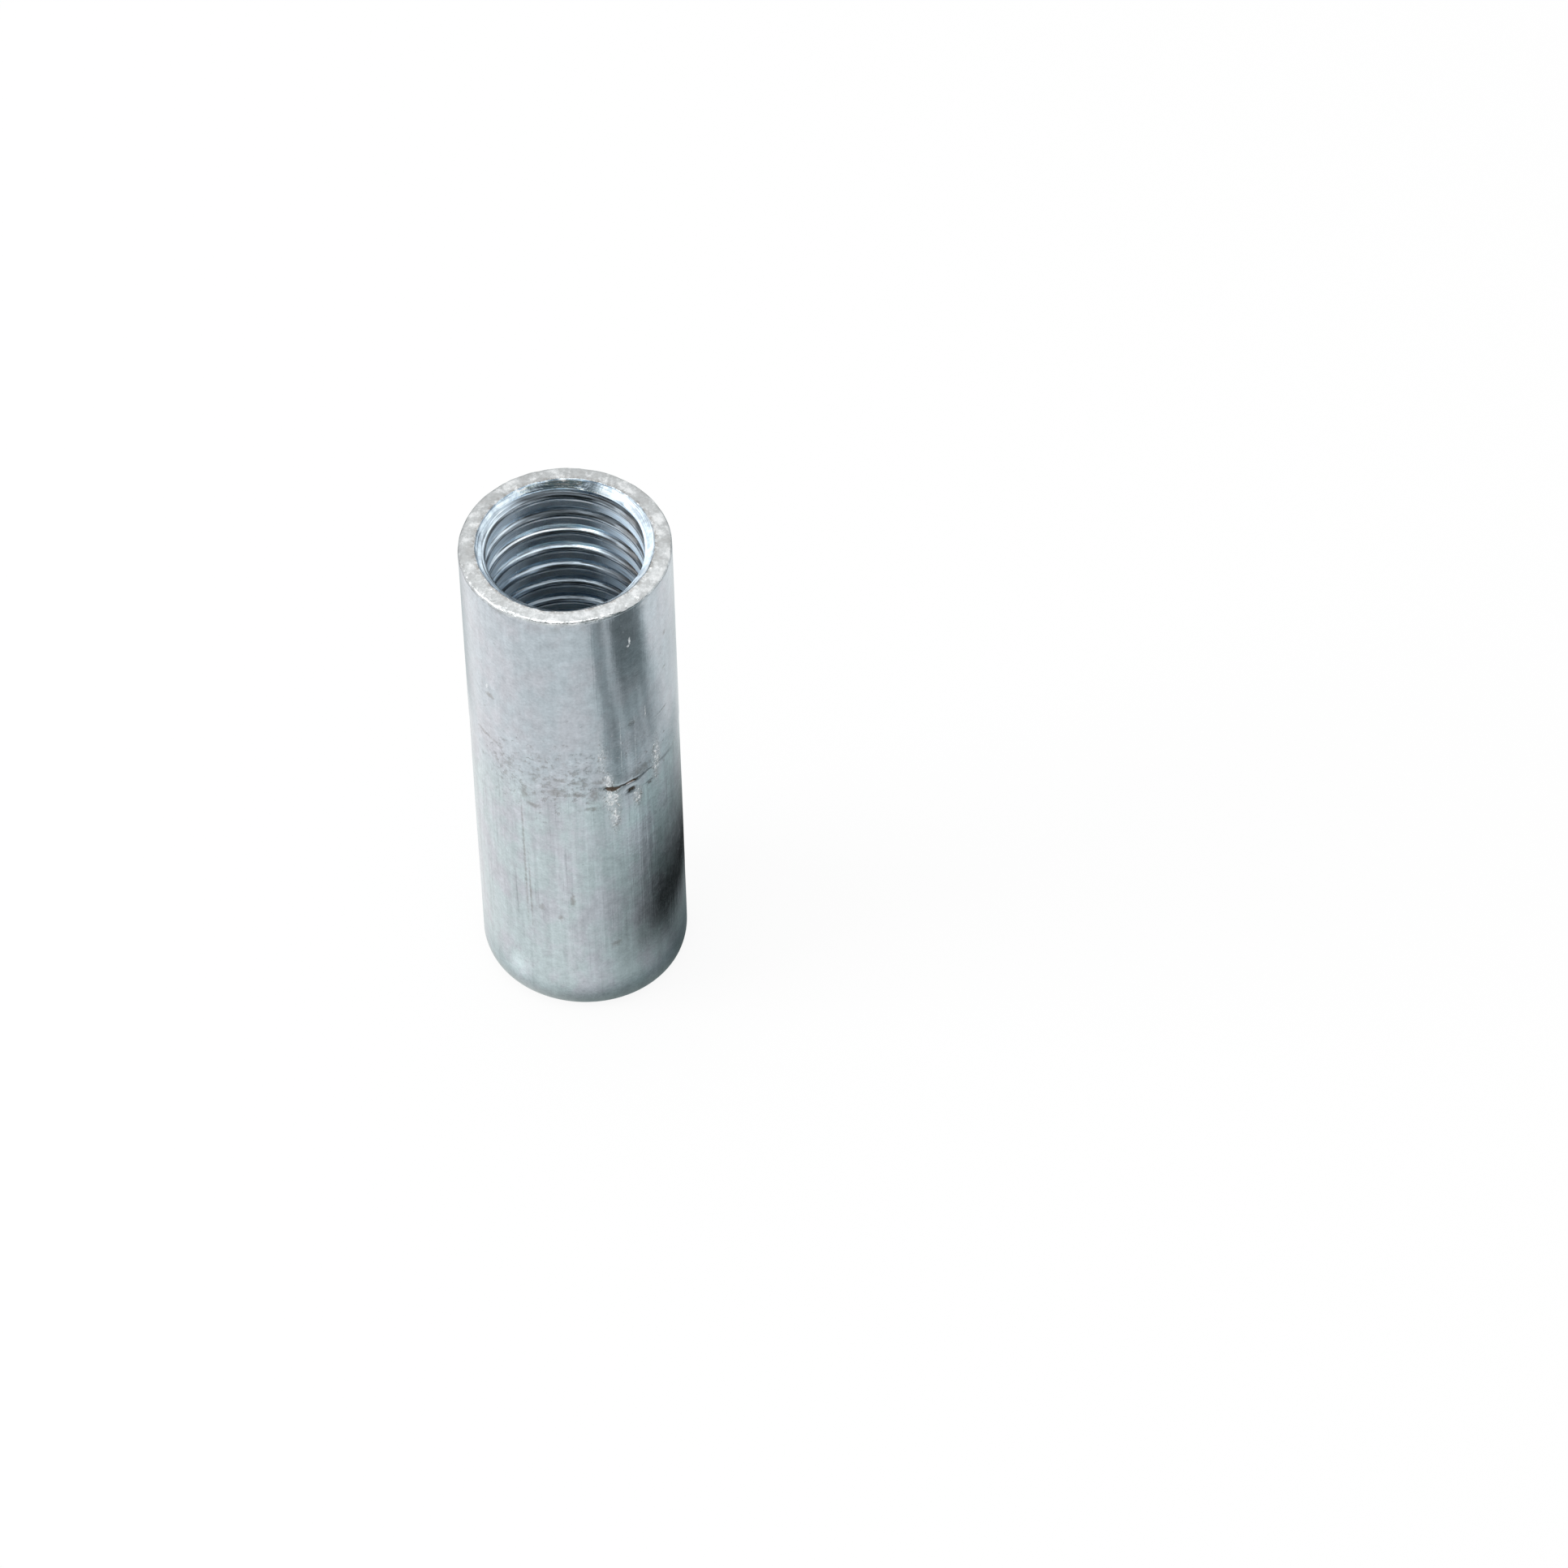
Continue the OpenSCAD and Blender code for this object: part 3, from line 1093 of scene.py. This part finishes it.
def make_floor():
    """A pale floor that stays near white to the camera and keeps a soft shadow."""
    reach = FLOOR_HALF
    corners = [(-reach, -reach, 0), (reach, -reach, 0), (reach, reach, 0), (-reach, reach, 0)]
    floor = make_plane("floor", corners)
    sheet = Sheet("floor_paper")
    paper = sheet.add("ShaderNodeBsdfDiffuse", {"Color": FLOOR_COLOUR})
    glow = sheet.add("ShaderNodeEmission", {"Color": WHITE, "Strength": 1.0})
    camera_ray = sheet.add("ShaderNodeLightPath", {}).outputs["Is Camera Ray"]
    share = sheet.times(camera_ray, FLOOR_GLOW)
    mixed = sheet.add("ShaderNodeMixShader", {0: share, 1: paper.outputs[0], 2: glow.outputs[0]})
    floor.data.materials.append(sheet.finish(mixed))


def only_mirrored(card):
    """Leaves a card to the mirror images in the metal alone."""
    card.visible_camera = False
    card.visible_diffuse = False
    card.visible_shadow = False
    card.visible_transmission = False


def mirror_tone(level):
    """A grey that turns to slate as it gets darker."""
    cool = SLATE * (1 - level)
    return (level * (1 - cool), level, level * (1 + cool * SLATE_BLUE), 1)


def make_flag(name, middle, half_width, half_height, level):
    """An upright dark card with soft edges that only the metal mirrors, all in millimetres."""
    x, y, z = middle
    corners = [(x - half_width, y, z - half_height), (x + half_width, y, z - half_height)]
    corners += [(x + half_width, y, z + half_height), (x - half_width, y, z + half_height)]
    flag = make_plane(name, corners)
    only_mirrored(flag)
    sheet = Sheet(name + "_paint")
    parts = sheet.split(sheet.add("ShaderNodeTexCoord", {}).outputs["Generated"])
    across = sheet.range(sheet.away(parts["X"], 0.5), *FLAG_SIDES)
    above = sheet.range(sheet.away(parts["Z"], 0.5), *FLAG_ENDS)
    tone = sheet.blend(sheet.times(across, above), WHITE, mirror_tone(level))
    glow = sheet.add("ShaderNodeEmission", {"Color": tone, "Strength": 1.0})
    flag.data.materials.append(sheet.finish(glow))


def tone_ring(sheet, angle, tones):
    """Colour that follows a list of tones round the nut."""
    share = sheet.range(angle, -180, 180)
    return sheet.ramp(share, [((turn + 180) / 360, mirror_tone(level)) for turn, level in tones])


def card_paint():
    """Soft light and dark of the ring-shaped card."""
    sheet = Sheet("mirror_card_paint")
    place = sheet.place_in_mm()
    angle = sheet.degrees_from_front(place)
    reach = sheet.reach_from_axis(place)
    beyond = sheet.minus(sheet.sum("MINIMUM", reach, LEAN_TO), LEAN_FROM)
    leaning = sheet.plus(angle, sheet.times(beyond, sheet.range(angle, *LEANS)))
    far = tone_ring(sheet, leaning, FAR_TONES)
    tone = sheet.blend(sheet.range(reach, *MID_TO_FAR), tone_ring(sheet, leaning, MID_TONES), far)
    tone = sheet.blend(sheet.range(reach, *NEAR_TO_MID), tone_ring(sheet, angle, NEAR_TONES), tone)
    side = sheet.times(sheet.range(angle, *SIDE_START), sheet.range(angle, *SIDE_END))
    side = sheet.times(side, sheet.range(reach, *SIDE_REACH))
    side = sheet.times(side, sheet.range(reach, *SIDE_FOOT))
    tone = sheet.dim(tone, sheet.between(side, 1, 1 - SIDE_DARK))
    for turn, spread_angle, middle, spread_reach, level in PATCHES.values():
        wide = sheet.range(sheet.away(angle, turn), spread_angle, spread_angle * PATCH_FLAT)
        deep = sheet.range(sheet.away(reach, middle), spread_reach, spread_reach * PATCH_FLAT)
        tone = sheet.dim(tone, sheet.between(sheet.times(wide, deep), 1, 1 + level))
    # Painted contact shadow round the foot
    foot = sheet.blend(sheet.range(reach, *FOOT_SHADE), WHITE, tone_ring(sheet, angle, FOOT_SHADOW_TONES))
    tone = sheet.stretch(tone, foot)
    return sheet.finish(sheet.add("ShaderNodeEmission", {"Color": tone, "Strength": 1.0}))


def make_mirror_card():
    """A ring on the floor round the nut that gives the metal its soft light and dark."""
    mesh = bmesh.new()
    rings = []
    for reach in (CARD_HOLE, CARD_REACH):
        places = [Vector((reach * math.cos(turn), reach * math.sin(turn), CARD_LIFT)) for turn in TURNS]
        rings.append([mesh.verts.new(place * MM) for place in places])
    for index in range(AROUND):
        after = (index + 1) % AROUND
        mesh.faces.new([rings[0][index], rings[1][index], rings[1][after], rings[0][after]])
    data = bpy.data.meshes.new("mirror_card")
    mesh.to_mesh(data)
    mesh.free()
    data.materials.append(card_paint())
    card = bpy.data.objects.new("mirror_card", data)
    bpy.context.collection.objects.link(card)
    only_mirrored(card)


def make_softbox(name, place, width, depth, radiance):
    """A soft lamp that faces the top of the nut, in millimetres, with the brightness that it shows."""
    lamp = bpy.data.lights.new(name, "AREA")
    lamp.shape = "RECTANGLE"
    lamp.size = width * MM
    lamp.size_y = depth * MM
    lamp.energy = radiance * math.pi * lamp.size * lamp.size_y
    softbox = bpy.data.objects.new(name, lamp)
    softbox.location = Vector(place) * MM
    facing = Vector((0, 0, LENGTH)) - Vector(place)
    softbox.rotation_euler = facing.to_track_quat("-Z", "Y").to_euler()
    bpy.context.collection.objects.link(softbox)


def make_stage():
    """World, floor, lamps and cards."""
    make_world()
    make_floor()
    for name, box in SOFTBOXES.items():
        make_softbox(name, *box)
    make_mirror_card()
    make_flag("front_flag", *FRONT_FLAG)


# Camera

def make_camera():
    """The camera of the photograph, which looks along +Y and down."""
    level = Vector((1, 0, 0))
    ahead = Vector((0, math.cos(VIEW_ELEVATION), -math.sin(VIEW_ELEVATION)))
    upright = level.cross(ahead)
    right = level * math.cos(VIEW_ROLL) - upright * math.sin(VIEW_ROLL)
    up = level * math.sin(VIEW_ROLL) + upright * math.cos(VIEW_ROLL)
    across = (TOP_CENTRE_PIXEL[0] - PHOTO_SIDE / 2) / FOCAL_PIXELS * VIEW_DEPTH
    above = (PHOTO_SIDE / 2 - TOP_CENTRE_PIXEL[1]) / FOCAL_PIXELS * VIEW_DEPTH
    place = Vector((0, 0, LENGTH)) - right * across - up * above - ahead * VIEW_DEPTH
    data = bpy.data.cameras.new("photo_camera")
    data.sensor_width = SENSOR_MM
    data.lens = SENSOR_MM * FOCAL_PIXELS / PHOTO_SIDE
    data.clip_start = CLIP_START
    data.clip_end = CLIP_END
    camera = bpy.data.objects.new("photo_camera", data)
    turn = Matrix((right, up, -ahead)).transposed().to_4x4()
    camera.matrix_world = Matrix.Translation(place * MM) @ turn
    bpy.context.collection.objects.link(camera)
    bpy.context.scene.camera = camera


make_camera()
make_stage()
bpy.context.scene.view_settings.view_transform = "Standard"

nut = make_nut()
nut.data.materials.append(zinc_plating())
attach(nut, "root")
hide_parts(NODE)
